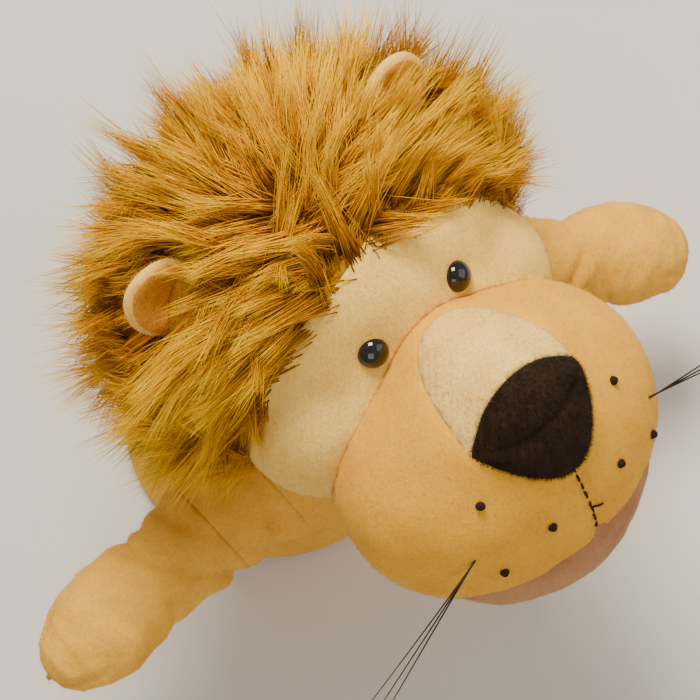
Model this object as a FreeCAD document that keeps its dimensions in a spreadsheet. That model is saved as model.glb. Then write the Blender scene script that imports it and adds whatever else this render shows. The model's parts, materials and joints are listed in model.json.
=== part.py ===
import FreeCAD, Part
import Sketcher
import os
from FreeCAD import Placement, Rotation, Vector

# Plush lion glove puppet. It stands on its hem: the origin is the centre of the round
# hand opening, +Z is up, -Y is the puppet's front and +X is the puppet's left.

doc = FreeCAD.newDocument("lion_glove_puppet")
sheet = doc.addObject("Spreadsheet::Sheet", "Sizes")

SIZES = [
    # glove body
    ("hem_radius", 66.8), ("hem_height", 12.0), ("hem_bore", 62.0), ("cloth", 2.4), ("seam_gap", 0.3),
    ("neck_x", 30.0), ("neck_y", -42.0), ("neck_z", 138.0), ("neck_drop", 18.5), ("shoulder_radius", 29.0),
    ("armhole_ease", 8.5),
    # neck rings
    ("collar_radius", 24.0), ("collar_wall", 2.2), ("collar_height", 9.0),
    ("cuff_radius", 17.6), ("cuff_wall", 1.8), ("cuff_height", 15.0),
    # head pose
    ("head_yaw", 15.0), ("head_pitch", 26.0), ("head_roll", 6.5), ("neck_hole", 30.0),
    # skull, muzzle, jaw and mane, as half widths, half depths and half heights
    ("skull_x", 66.0), ("skull_y", 62.0), ("skull_z", 58.0), ("skull_back", -4.0), ("skull_up", 46.0),
    ("side_seam", -8.0),
    ("cheek_x", 64.0), ("cheek_y", 40.0), ("cheek_z", 42.0), ("cheek_back", -34.0), ("cheek_up", 22.0),
    ("muzzle_x", 61.0), ("muzzle_y", 50.0), ("muzzle_z", 47.0), ("muzzle_back", -76.0), ("muzzle_up", 3.0),
    ("philtrum_low", -14.0), ("philtrum_high", 13.5),
    ("jaw_x", 49.0), ("jaw_y", 46.0), ("jaw_z", 30.0), ("jaw_back", -79.0), ("jaw_up", -24.0),
    ("jaw_seam", -38.0),
    ("mane_x", 94.0), ("mane_y", 80.0), ("mane_z", 78.0), ("mane_back", 10.0), ("mane_up", 48.0),
    ("mane_front", -38.0), ("mane_slope", 14.0), ("mane_low", 16.0), ("mane_side", 38.0), ("mane_top", 74.0),
    ("ear_room", 18.0), ("ear_room_up", 24.0),
    # face trim
    ("trim", 1.6), ("eye_radius", 6.2), ("eye_x", 20.8), ("eye_up", 57.7), ("washer_radius", 6.5),
    ("stem_radius", 1.6), ("knot_radius", 1.5), ("whisker_radius", 0.3), ("whisker_length", 84.0),
    ("whisker_x", 40.0), ("whisker_z", -4.0), ("whisker_step", 1.5),
    ("pocket_radius", 12.6), ("pocket_wall", 1.6), ("pocket_height", 56.0), ("pocket_low", 16.0),
    # ears
    ("ear_width", 15.0), ("ear_depth", 6.5), ("ear_height", 18.0), ("ear_x", 58.0), ("ear_back", 3.0),
    ("ear_up", 82.0), ("ear_lean", 30.0),
    # arms
    ("arm_radius", 19.0), ("arm_wall", 2.0), ("arm_length", 119.0), ("shoulder_out", 46.0),
    ("shoulder_twist", 18.0), ("shoulder_drop", 38.0), ("sleeve_start", 17.0), ("elbow_at", 59.0),
    ("elbow_gap", 6.5), ("stuffing_start", 96.0),
    ("right_forward", 10.0), ("right_down", 3.0), ("left_forward", 19.0), ("left_down", 15.0),
]
for row, (alias, value) in enumerate(SIZES, start=1):
    sheet.set("A%d" % row, alias)
    sheet.set("B%d" % row, str(value))
    sheet.setAlias("B%d" % row, alias)
doc.recompute()

PARTS = []


def size(alias):
    """The value of one driving dimension."""
    return float(sheet.get(alias))


def bind(obj, **formulas):
    """Drive properties of an object from the sheet; bare names are aliases."""
    for prop, formula in formulas.items():
        obj.setExpression(prop, formula)


def cell(alias):
    return "Sizes." + alias


def node(obj, label):
    """Mark an object as one physical piece of the puppet."""
    obj.Label = label
    PARTS.append(obj)
    return obj


def solid(kind, frame, at=(0, 0, 0), turn=None, **formulas):
    """A Part primitive in a local frame, sized from the sheet."""
    obj = doc.addObject("Part::" + kind, kind)
    bind(obj, **formulas)
    obj.Placement = frame.multiply(Placement(Vector(*at), turn or Rotation()))
    return obj


def block(frame, low, high):
    """A box between two corners of a local frame, used to split shells into panels."""
    obj = doc.addObject("Part::Box", "Block")
    obj.Length, obj.Width, obj.Height = [b - a for a, b in zip(low, high)]
    obj.Placement = frame.multiply(Placement(Vector(*low), Rotation()))
    return obj


def ellipsoid(frame, at, names, grow="0", turn=None):
    """A full ellipsoid with half axes names = (x, y, z) from the sheet, each grown by a formula."""
    across, deep, high = [cell(name) + " + " + grow for name in names]
    return solid("Ellipsoid", frame, at, turn, Radius1=high, Radius2=across, Radius3=deep)


def cut(base, *tools):
    """Take tools away from base, one after the other."""
    for tool in tools:
        obj = doc.addObject("Part::Cut", "Cut")
        obj.Base, obj.Tool = base, tool
        base = obj
    return base


def common(base, tool):
    obj = doc.addObject("Part::Common", "Common")
    obj.Base, obj.Tool = base, tool
    return obj


def fuse(*pieces):
    obj = doc.addObject("Part::MultiFuse", "Fuse")
    obj.Shapes = list(pieces)
    return obj


def group(*pieces):
    """Separate identical solids that share one node."""
    obj = doc.addObject("Part::Compound", "Group")
    obj.Links = list(pieces)
    return obj


def ring(label, frame, low, outer, wall, height):
    """A turned sleeve as a PartDesign body: two circles on its own base plane, padded."""
    body = doc.addObject("PartDesign::Body", label)
    sketch = body.newObject("Sketcher::SketchObject", "Profile")
    plane = [f for f in body.Origin.OriginFeatures if f.Role == "XY_Plane"][0]
    sketch.AttachmentSupport = [(plane, "")]
    sketch.MapMode = "FlatFace"
    for formula in (outer, outer + " - " + wall):
        circle = sketch.addGeometry(Part.Circle(Vector(), Vector(0, 0, 1), 10.0), False)
        sketch.addConstraint(Sketcher.Constraint("Coincident", circle, 3, -1, 1))
        number = sketch.addConstraint(Sketcher.Constraint("Radius", circle, 10.0 - circle))
        sketch.setExpression("Constraints[%d]" % number, formula)
    pad = body.newObject("PartDesign::Pad", "Pad")
    pad.Profile = sketch
    pad.setExpression("Length", height)
    body.Placement = frame.multiply(Placement(Vector(0, 0, low), Rotation()))
    return node(body, label)


def circle(frame, at, formula):
    obj = doc.addObject("Part::Circle", "Section")
    bind(obj, Radius=formula)
    obj.Placement = frame.multiply(Placement(Vector(*at), Rotation()))
    return obj


def loft(sections):
    obj = doc.addObject("Part::Loft", "Loft")
    obj.Sections = sections
    obj.Solid = True
    return obj


WORLD = Placement()
NECK = Vector(size("neck_x"), size("neck_y"), size("neck_z"))
HEAD_TURN = (Rotation(Vector(0, 0, 1), size("head_yaw"))
             .multiply(Rotation(Vector(1, 0, 0), -size("head_pitch")))
             .multiply(Rotation(Vector(0, 1, 0), size("head_roll"))))
HEAD = Placement(NECK, HEAD_TURN)
COLLAR = Placement(NECK, Rotation())
CUFF = Placement(NECK, Rotation(Vector(0, 0, 1), size("head_yaw")))
FAR = 400.0
SIDES = (("right", -1), ("left", 1))


# ---- glove body -----------------------------------------------------------------------------

def arm_frame(side, sign):
    """Frame at a shoulder with +X along the arm and +Z upwards."""
    twist = Rotation(Vector(0, 0, 1), size("shoulder_twist"))
    start = NECK + twist.multVec(Vector(sign * size("shoulder_out"), 4.0, -size("shoulder_drop")))
    heading = 180.0 + size("right_forward") if sign < 0 else -size("left_forward")
    turn = Rotation(Vector(0, 0, 1), heading).multiply(Rotation(Vector(0, 1, 0), size(side + "_down")))
    return Placement(start, turn)


def bell(inset, overrun):
    """The leaning glove body, hem to neck, as a loft through circles that follow the lean."""
    low = size("hem_height") + size("seam_gap")
    high = size("neck_z") - size("neck_drop")
    hem = cell("hem_radius")
    stations = ((0.0, hem), (0.33, hem + " * 0.88"), (0.62, hem + " * 0.70"), (0.85, hem + " * 0.56"),
                (1.0, cell("shoulder_radius")))
    sections = []
    for share, radius in stations:
        up = low + share * (high - low)
        lean = (up / NECK.z) ** 1.2
        if share in (0.0, 1.0):
            up += overrun * (2 * share - 1)
        sections.append(circle(WORLD, (NECK.x * lean, NECK.y * lean, up), radius + " - " + inset))
    return loft(sections)


def glove_body():
    ring("hem_band", WORLD, 0.0, cell("hem_radius"), "(Sizes.hem_radius - Sizes.hem_bore)",
         cell("hem_height"))
    armholes = [solid("Sphere", arm_frame(side, sign), Radius="Sizes.arm_radius + Sizes.armhole_ease")
                for side, sign in SIDES]
    across = Rotation(Vector(0, 0, 1), size("shoulder_twist")).multVec(Vector(1, 0, 0))
    behind = NECK.cross(across).normalize()
    seam_plane = Placement(Vector(), Rotation(across, behind, across.cross(behind), "XYZ"))
    for label, low, high in (("body_front_panel", -FAR, -0.1), ("body_back_panel", 0.1, FAR)):
        shell = cut(bell("0", 0.0), bell(cell("cloth"), 2.0), *armholes)
        node(common(shell, block(seam_plane, (-FAR, low, -FAR), (FAR, high, FAR))), label)


def neck_rings():
    low = -size("neck_drop") + size("seam_gap") + 1.0
    ring("neck_collar", COLLAR, low, cell("collar_radius"), cell("collar_wall"), cell("collar_height"))
    ring("pocket_cuff", CUFF, -size("cuff_height") / 2, cell("cuff_radius"), cell("cuff_wall"),
         cell("cuff_height"))


# ---- arms -----------------------------------------------------------------------------------

ALONG = Rotation(Vector(0, 1, 0), 90)


def sleeve(label, frame, start, end):
    """An open fabric tube along the arm."""
    outer = solid("Cylinder", frame, (start, 0, 0), ALONG, Radius=cell("arm_radius"))
    inner = solid("Cylinder", frame, (start - 1, 0, 0), ALONG, Radius="Sizes.arm_radius - Sizes.arm_wall")
    outer.Height, inner.Height = end - start, end - start + 2
    return node(cut(outer, inner), label)


def paw_core(frame, start, inset):
    """Tube with a domed end, shrunk by inset: the paw end of an arm."""
    dome = size("arm_length") - size("arm_radius")
    radius = cell("arm_radius") + " - " + inset
    tube = solid("Cylinder", frame, (start, 0, 0), ALONG, Radius=radius)
    tube.Height = dome - start
    return fuse(tube, solid("Sphere", frame, (dome, 0, 0), Radius=radius))


def arm(side, sign):
    frame = arm_frame(side, sign)
    start = size("sleeve_start")
    elbow, gap = size("elbow_at"), size("elbow_gap")
    sleeve(side + "_shoulder_sleeve", frame, 4.0, 10.0)
    sleeve(side + "_upper_sleeve", frame, start, elbow - gap)
    shell = cut(paw_core(frame, elbow + gap, "0"), paw_core(frame, elbow, cell("arm_wall")))
    node(shell, side + "_paw_shell")
    fill = paw_core(frame, size("stuffing_start"), "Sizes.arm_wall - Sizes.seam_gap")
    keep = block(frame, (size("stuffing_start"), -FAR, -FAR), (FAR, FAR, FAR))
    node(common(fill, keep), side + "_paw_stuffing")


# ---- head -----------------------------------------------------------------------------------

SKULL_AT = (0, size("skull_back"), size("skull_up"))
SKULL = ("skull_x", "skull_y", "skull_z")
CHEEK_AT = (0, size("cheek_back"), size("cheek_up"))
CHEEK = ("cheek_x", "cheek_y", "cheek_z")
MUZZLE_AT = (0, size("muzzle_back"), size("muzzle_up"))
MUZZLE = ("muzzle_x", "muzzle_y", "muzzle_z")
JAW_AT = (0, size("jaw_back"), size("jaw_up"))
JAW = ("jaw_x", "jaw_y", "jaw_z")
MANE_AT = (0, size("mane_back"), size("mane_up"))
MANE = ("mane_x", "mane_y", "mane_z")


def skull(grow):
    """The head without its muzzle: the round skull and the cheeks as one form."""
    return fuse(ellipsoid(HEAD, SKULL_AT, SKULL, grow), ellipsoid(HEAD, CHEEK_AT, CHEEK, grow))


def muzzle(grow):
    return ellipsoid(HEAD, MUZZLE_AT, MUZZLE, grow)


def on_surface(at, half, x, z, front=True):
    """Point of an ellipsoid at a given x and z, and the outward normal there."""
    a, b, c = [size(name) for name in half]
    u, w = (x - at[0]) / a, (z - at[2]) / c
    v = -(1 - u * u - w * w) ** 0.5
    point = Vector(x, at[1] + b * v, z)
    return point, Vector(u / a, v / b, w / c).normalize()


def neck_bore():
    return solid("Cylinder", HEAD, (0, 0, -30), Radius=cell("neck_hole"),
                 Height="30 + Sizes.pocket_low - Sizes.seam_gap")


def eye_axis(sign):
    point, normal = on_surface(SKULL_AT, SKULL, sign * size("eye_x"), size("eye_up"))
    return Placement(point, Rotation(Vector(0, 0, 1), normal))


def head_shells():
    seam, gap = size("side_seam"), 0.2
    sockets = [HEAD.multiply(eye_axis(sign)) for side, sign in SIDES]
    stems = [solid("Cylinder", socket, (0, 0, -14), Radius="Sizes.stem_radius + 0.1", Height="20")
             for socket in sockets]
    shell = cut(skull("0"), skull("-Sizes.cloth"), neck_bore(), *stems)
    node(common(shell, block(HEAD, (-FAR, -FAR, -FAR), (FAR, seam, FAR))), "face_panel")
    node(common(shell, block(HEAD, (-FAR, seam + gap, -FAR), (FAR, FAR, FAR))), "head_back_panel")
    washers = [solid("Cylinder", socket, (0, 0, -9), Radius="Sizes.washer_radius + 0.2", Height="7")
               for socket in sockets]
    pocket = solid("Cylinder", HEAD, (0, 0, 0), Radius="Sizes.pocket_radius + 0.2",
                   Height="Sizes.pocket_low + Sizes.pocket_height + 0.2")
    node(cut(skull("-Sizes.cloth - 0.2"), neck_bore(), pocket, *(stems + washers)), "head_stuffing")


def finger_pocket():
    low = size("pocket_low")
    outer = solid("Cylinder", HEAD, (0, 0, low), Radius=cell("pocket_radius"), Height=cell("pocket_height"))
    inner = solid("Cylinder", HEAD, (0, 0, low - 1), Radius="Sizes.pocket_radius - Sizes.pocket_wall",
                  Height="Sizes.pocket_height - 1")
    node(cut(outer, inner), "finger_pocket")


def muzzle_pieces():
    shell = cut(muzzle("0"), muzzle("-Sizes.cloth"), skull("0.2"))
    node(shell, "muzzle_panel")
    node(cut(muzzle("-Sizes.cloth - 0.2"), skull("0.2")), "muzzle_stuffing")
    layers = (("nose_patch", (0, -112, 34), (27, 20, 20)), ("nose_bridge_patch", (0, -80, 58), (22, 34, 20)))
    nose_zone = None
    for label, at, half in layers:
        zone = solid("Ellipsoid", HEAD, at)
        zone.Radius2, zone.Radius3, zone.Radius1 = half
        layer = cut(muzzle(cell("trim")), muzzle("0.1"), skull("0.3"))
        patch = common(layer, zone)
        if nose_zone:
            patch = cut(patch, nose_zone)
        nose_zone = zone
        node(patch, label)
    layer = cut(muzzle("0.9"), muzzle("0.1"))
    half_width = 0.7
    strip = block(HEAD, (-half_width, -200, size("philtrum_low")), (half_width, -90, size("philtrum_high")))
    node(common(layer, strip), "philtrum_stitch")


def jaw_pieces():
    clear = "Sizes.seam_gap + 0.3"
    outer = cut(ellipsoid(HEAD, JAW_AT, JAW), muzzle(clear))
    inner = cut(ellipsoid(HEAD, JAW_AT, JAW, "-Sizes.cloth"), muzzle(clear + " + Sizes.cloth"))
    front = block(HEAD, (-FAR, -FAR, -FAR), (FAR, size("jaw_seam"), FAR))
    node(common(cut(outer, inner), front), "lower_jaw_panel")
    fill = cut(ellipsoid(HEAD, JAW_AT, JAW, "-Sizes.cloth - 0.2"), muzzle(clear + " + Sizes.cloth + 0.2"))
    node(common(fill, front), "jaw_stuffing")


def eyes():
    for side, sign in SIDES:
        frame = HEAD.multiply(eye_axis(sign))
        dome = cut(solid("Sphere", frame, (0, 0, -0.5), Radius=cell("eye_radius")), skull("0.1"))
        stem = solid("Cylinder", frame, (0, 0, -12), Radius=cell("stem_radius"), Height="13")
        node(fuse(dome, stem), side + "_eye")
        disc = solid("Cylinder", frame, (0, 0, -8.5), Radius=cell("washer_radius"), Height="1.5")
        hole = solid("Cylinder", frame, (0, 0, -10), Radius="Sizes.stem_radius + 0.1", Height="5")
        node(cut(disc, hole), side + "_eye_washer")


KNOT_SPOTS = ((26.0, 8.0), (33.0, -8.0), (19.0, -12.0))
WHISKER_RISES = (-0.17, -0.10, -0.02)


def whisker_trim():
    for side, sign in SIDES:
        knots, bristles = [], []
        for x, z in KNOT_SPOTS:
            point, normal = on_surface(MUZZLE_AT, MUZZLE, sign * x, z)
            knots.append(solid("Sphere", HEAD, tuple(point + normal * (size("knot_radius") + 0.2)),
                               Radius=cell("knot_radius")))
        for number, rise in enumerate(WHISKER_RISES):
            root_x = sign * size("whisker_x")
            root_z = size("whisker_z") + size("whisker_step") * number
            point, normal = on_surface(MUZZLE_AT, MUZZLE, root_x, root_z)
            turn = Rotation(Vector(0, 0, 1), Vector(sign * 0.96, -0.20, rise))
            bristles.append(solid("Cylinder", HEAD, tuple(point + normal * 0.8), turn,
                                  Radius=cell("whisker_radius"), Height=cell("whisker_length")))
        node(group(*knots), side + "_whisker_knots")
        node(group(*bristles), side + "_whiskers")


def ear_frame(sign):
    turn = Rotation(Vector(0, 1, 0), sign * size("ear_lean"))
    return HEAD.multiply(Placement(Vector(sign * size("ear_x"), size("ear_back"), size("ear_up")), turn))


def ears():
    half = ("ear_width", "ear_depth", "ear_height")
    for side, sign in SIDES:
        frame = ear_frame(sign)
        cup = ellipsoid(frame, (0, -3.5, 0), half, "-2.4")
        outer = cut(ellipsoid(frame, (0, 0, 0), half), cup, skull("1.9"))
        node(outer, side + "_ear_outer")
        hollow = ellipsoid(frame, (0, -5.6, 0), half, "-2.6")
        lining = cut(ellipsoid(frame, (0, -3.5, 0), half, "-2.6"), hollow, skull("1.9"))
        node(lining, side + "_ear_inner")


def mane():
    """Fur panels round the skull: what is left between the fur's outer form and the skull."""
    face_turn = Rotation(Vector(1, 0, 0), size("mane_slope"))
    hair_front = HEAD.multiply(Placement(Vector(0, size("mane_front"), size("skull_up")), face_turn))
    face_side = block(hair_front, (-FAR, -FAR, -FAR), (FAR, 0, FAR))
    below = block(HEAD, (-FAR, -FAR, -FAR), (FAR, FAR, size("mane_low")))
    pockets = [solid("Ellipsoid", ear_frame(sign), (0, 0, 2)) for side, sign in SIDES]
    for pocket in pockets:
        bind(pocket, Radius1=cell("ear_room_up"), Radius2=cell("ear_room"), Radius3=cell("ear_room"))
    fur = cut(ellipsoid(HEAD, MANE_AT, MANE), skull("0.2"), face_side, below, *pockets)
    side, top, gap = size("mane_side"), size("mane_top"), 0.1
    node(common(fur, block(HEAD, (-FAR, -FAR, -FAR), (-side - gap, FAR, FAR))), "mane_right_panel")
    node(common(fur, block(HEAD, (side + gap, -FAR, -FAR), (FAR, FAR, FAR))), "mane_left_panel")
    node(common(fur, block(HEAD, (-side, -FAR, top + gap), (side, FAR, FAR))), "mane_crown_panel")
    node(common(fur, block(HEAD, (-side, -FAR, -FAR), (side, FAR, top))), "mane_back_panel")


glove_body()
neck_rings()
for side, sign in SIDES:
    arm(side, sign)
head_shells()
finger_pocket()
muzzle_pieces()
jaw_pieces()
eyes()
whisker_trim()
ears()
mane()
doc.recompute()

broken = [o.Name for o in doc.Objects if "Invalid" in o.State or "Error" in o.State]
if broken:
    raise RuntimeError("objects failed: " + ", ".join(broken))
os.makedirs("parts", exist_ok=True)
for piece in PARTS:
    shape = piece.Shape
    if shape.isNull() or not shape.isValid() or not shape.Solids:
        raise RuntimeError(piece.Label + " has no valid solid")
    print("%-24s solids %d volume %9.1f" % (piece.Label, len(shape.Solids), shape.Volume))
    shape.exportStep("parts/" + piece.Label + ".step")
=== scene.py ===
import json
import math

import bmesh
import bpy
import numpy as np
from mathutils import Matrix, Vector


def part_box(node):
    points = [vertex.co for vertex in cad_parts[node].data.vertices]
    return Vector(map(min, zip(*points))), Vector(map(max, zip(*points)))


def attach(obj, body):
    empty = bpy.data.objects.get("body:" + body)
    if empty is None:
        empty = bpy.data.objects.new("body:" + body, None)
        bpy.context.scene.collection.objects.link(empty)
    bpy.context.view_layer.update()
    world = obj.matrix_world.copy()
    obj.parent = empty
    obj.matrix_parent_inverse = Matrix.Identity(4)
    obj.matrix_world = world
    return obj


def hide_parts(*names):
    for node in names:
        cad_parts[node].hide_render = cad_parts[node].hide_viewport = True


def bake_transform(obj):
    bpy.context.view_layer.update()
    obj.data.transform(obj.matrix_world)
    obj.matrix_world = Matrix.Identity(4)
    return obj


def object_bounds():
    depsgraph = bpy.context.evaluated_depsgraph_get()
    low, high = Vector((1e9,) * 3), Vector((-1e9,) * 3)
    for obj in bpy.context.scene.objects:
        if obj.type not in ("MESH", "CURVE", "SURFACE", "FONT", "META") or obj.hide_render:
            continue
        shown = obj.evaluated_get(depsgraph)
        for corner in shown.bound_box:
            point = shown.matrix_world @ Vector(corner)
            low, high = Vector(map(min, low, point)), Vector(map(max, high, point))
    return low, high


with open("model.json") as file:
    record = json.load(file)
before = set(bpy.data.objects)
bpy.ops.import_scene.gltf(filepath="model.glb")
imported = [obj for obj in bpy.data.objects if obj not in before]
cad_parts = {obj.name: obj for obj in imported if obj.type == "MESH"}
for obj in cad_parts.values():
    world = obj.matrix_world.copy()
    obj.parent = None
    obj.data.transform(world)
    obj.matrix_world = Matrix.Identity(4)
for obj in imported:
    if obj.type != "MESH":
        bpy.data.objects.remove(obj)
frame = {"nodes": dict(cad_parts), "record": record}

# A plush lion glove puppet, in metres, around its CAD frame. Head shapes are written in
# millimetres in the head's own frame: X to the puppet's left, Y to its back, Z to its crown.

CAD_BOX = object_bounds()
MM = 0.001
RECORD = frame["record"]
JOINT = {j["name"]: j for j in RECORD["behaviour"]["joints"]}
SIDES = (("right", -1), ("left", 1))
rng = np.random.RandomState(7)


def unit(v):
    v = np.asarray(v, float)
    return v / np.maximum(np.linalg.norm(v, axis=-1, keepdims=True), 1e-12)


def joint_point(name):
    return np.array(JOINT[name]["pos_m"], float)


NECK = joint_point("neck_turn")
HEAD_X = unit(JOINT["jaw_open"]["axis"])
HEAD_Y = -unit(JOINT["neck_tilt"]["axis"])
HEAD_AXES = np.array([HEAD_X, HEAD_Y, np.cross(HEAD_X, HEAD_Y)])


def head_point(p):
    """Head millimetres to world metres."""
    return NECK + (np.asarray(p, float) * MM) @ HEAD_AXES


# ---- small helpers --------------------------------------------------------------------------

def smooth_step(x, low, high):
    f = np.clip((x - low) / (high - low), 0, 1)
    return f * f * (3 - 2 * f)


def bell_curve(x, width):
    return np.exp(-(x / width) ** 2)


WAVES = [(unit(rng.randn(3)), rng.uniform(0.6, 1.6), rng.uniform(0, 6.28)) for _ in range(14)]


def lumps(p, scale, shift=0.0):
    """Smooth noise of about -1..1 made of crossing waves; scale is the size of a lump."""
    total = np.zeros(len(p))
    for axis, rate, phase in WAVES:
        bend = np.sin(p @ np.roll(axis, 1) / scale * 2.1 + phase * 2 + shift)
        total += np.sin((p @ axis) * rate * 6.28 / (2.6 * scale) + phase + shift + 0.9 * bend)
    return total / 5.0


def new_mesh(name, verts, faces, smooth=True):
    mesh = bpy.data.meshes.new(name)
    mesh.from_pydata([tuple(v) for v in verts], [], [tuple(int(i) for i in f) for f in faces])
    mesh.validate()
    if smooth:
        mesh.polygons.foreach_set("use_smooth", [True] * len(mesh.polygons))
    obj = bpy.data.objects.new(name, mesh)
    bpy.context.collection.objects.link(obj)
    return obj


def big_mesh(name, verts, tris):
    """A mesh from large arrays of triangles."""
    mesh = bpy.data.meshes.new(name)
    mesh.vertices.add(len(verts))
    mesh.vertices.foreach_set("co", np.asarray(verts, np.float32).ravel())
    mesh.loops.add(tris.size)
    mesh.loops.foreach_set("vertex_index", tris.astype(np.int32).ravel())
    mesh.polygons.add(len(tris))
    mesh.polygons.foreach_set("loop_start", np.arange(0, tris.size, 3, dtype=np.int32))
    mesh.polygons.foreach_set("use_smooth", np.ones(len(tris), bool))
    mesh.update(calc_edges=True)
    obj = bpy.data.objects.new(name, mesh)
    bpy.context.collection.objects.link(obj)
    return obj


def apply_modifiers(obj):
    deps = bpy.context.evaluated_depsgraph_get()
    mesh = bpy.data.meshes.new_from_object(obj.evaluated_get(deps))
    obj.modifiers.clear()
    obj.data = mesh
    return obj


def thicken(obj, thickness, fibres=0, length=1.1):
    """Give a skin its cloth thickness, inwards, and a nap of short fibres on its outside."""
    bm = bmesh.new()
    bm.from_mesh(obj.data)
    bmesh.ops.recalc_face_normals(bm, faces=bm.faces)
    bm.to_mesh(obj.data)
    bm.free()
    count = fibres
    pile = nap(obj, count, length) if count else None
    if thickness:
        mod = obj.modifiers.new("cloth", "SOLIDIFY")
        mod.thickness, mod.offset = thickness, -1.0
        apply_modifiers(obj)
    if pile:
        bm = bmesh.new()
        bm.from_mesh(obj.data)
        bm.from_mesh(pile)
        bm.to_mesh(obj.data)
        bm.free()
        bpy.data.meshes.remove(pile)
    return obj


def nap(obj, count, length):
    """Short leaning fibres spread evenly over the faces of a skin, as a mesh of small spikes."""
    mesh = obj.data
    areas = np.array([f.area for f in mesh.polygons])
    centres = np.array([f.center[:] for f in mesh.polygons])
    normals = np.array([f.normal[:] for f in mesh.polygons])
    chosen = rng.choice(len(areas), count, p=areas / areas.sum())
    root = centres[chosen] + rng.randn(count, 3) * np.sqrt(areas[chosen])[:, None] * 0.4
    n = normals[chosen]
    root -= n * ((root - centres[chosen]) * n).sum(1)[:, None]
    lean = unit(n + 0.55 * rng.randn(count, 3) + np.array([0.0, 0.0, -0.35]))
    side = unit(np.cross(lean, np.array([0.41, 0.3, 0.86])))
    up = np.cross(lean, side)
    long = length * MM * rng.uniform(0.5, 1.2, count)[:, None]
    wide = 0.075 * MM
    foot = root - n * 0.1 * MM
    corners = [foot + wide * (side * math.cos(w) + up * math.sin(w)) for w in (0, 2.09, 4.19)]
    verts = np.stack(corners + [root + lean * long], 1).reshape(-1, 3)
    base = np.arange(count)[:, None] * 4
    tris = np.concatenate([base + np.array(t) for t in ((0, 1, 3), (1, 2, 3), (2, 0, 3))])
    made = big_mesh("nap", verts, tris)
    pile = made.data
    bpy.data.objects.remove(made)
    return pile


def grid_faces(rows, cols, closed=True):
    faces = []
    for i in range(rows - 1):
        for j in range(cols if closed else cols - 1):
            k = (j + 1) % cols
            faces.append((i * cols + j, i * cols + k, (i + 1) * cols + k, (i + 1) * cols + j))
    return faces


def dress(obj, material, body=None, replaces=()):
    """Material, carried body and replaced CAD nodes of one piece."""
    obj.data.materials.clear()
    obj.data.materials.append(material)
    if replaces:
        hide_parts(*replaces)
    if body:
        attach(obj, body)
    return obj


# ---- materials ------------------------------------------------------------------------------

def tree(name):
    mat = bpy.data.materials.new(name)
    mat.use_nodes = True
    nodes, links = mat.node_tree.nodes, mat.node_tree.links
    return mat, nodes, links, nodes["Principled BSDF"]


def noise_node(nodes, links, vector, scale, detail=3.0, rough=0.55):
    node = nodes.new("ShaderNodeTexNoise")
    node.inputs["Scale"].default_value = scale
    node.inputs["Detail"].default_value = detail
    node.inputs["Roughness"].default_value = rough
    links.new(vector, node.inputs["Vector"])
    return node


def ramp_node(nodes, links, factor, stops):
    ramp = nodes.new("ShaderNodeValToRGB")
    while len(ramp.color_ramp.elements) < len(stops):
        ramp.color_ramp.elements.new(0.5)
    for element, (place, colour) in zip(ramp.color_ramp.elements, stops):
        element.position, element.color = place, (*colour, 1.0)
    links.new(factor, ramp.inputs["Fac"])
    return ramp


def mix_colour(nodes, links, kind, factor, a, b):
    mix = nodes.new("ShaderNodeMix")
    mix.data_type, mix.blend_type = "RGBA", kind
    for socket, value in ((mix.inputs[0], factor), (mix.inputs[6], a), (mix.inputs[7], b)):
        if hasattr(value, "is_output"):
            links.new(value, socket)
        else:
            socket.default_value = value
    return mix.outputs[2]


def plush(name, colour, deep, fuzz=0.10, bump=0.45):
    """Short-pile plush: soft blotches where the pile lies another way, fine fibres, and sheen."""
    mat, nodes, links, shader = tree(name)
    place = nodes.new("ShaderNodeTexCoord").outputs["Object"]
    blotch = noise_node(nodes, links, place, 55.0, 3.0, 0.6)
    light = tuple(min(1, c * 1.10) for c in colour)
    base = ramp_node(nodes, links, blotch.outputs["Fac"],
                     ((0.32, deep), (0.56, colour), (0.8, light)))
    fibre = noise_node(nodes, links, place, 950.0, 4.0, 0.7)
    speck = ramp_node(nodes, links, fibre.outputs["Fac"],
                      ((0.3, (0.78, 0.76, 0.72)), (0.62, (1.0, 1.0, 1.0))))
    speckled = mix_colour(nodes, links, "MULTIPLY", 0.75, base.outputs["Color"], speck.outputs["Color"])
    links.new(speckled, shader.inputs["Base Color"])
    pile = noise_node(nodes, links, place, 420.0, 6.0, 0.75)
    height = nodes.new("ShaderNodeBump")
    height.inputs["Strength"].default_value = bump
    height.inputs["Distance"].default_value = 0.0011
    links.new(pile.outputs["Fac"], height.inputs["Height"])
    links.new(height.outputs["Normal"], shader.inputs["Normal"])
    shader.inputs["Roughness"].default_value = 0.93
    shader.inputs["Specular IOR Level"].default_value = 0.15
    shader.inputs["Sheen Weight"].default_value = fuzz
    shader.inputs["Sheen Roughness"].default_value = 0.45
    shader.inputs["Sheen Tint"].default_value = (1.0, 0.78, 0.48, 1.0)
    return mat


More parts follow.
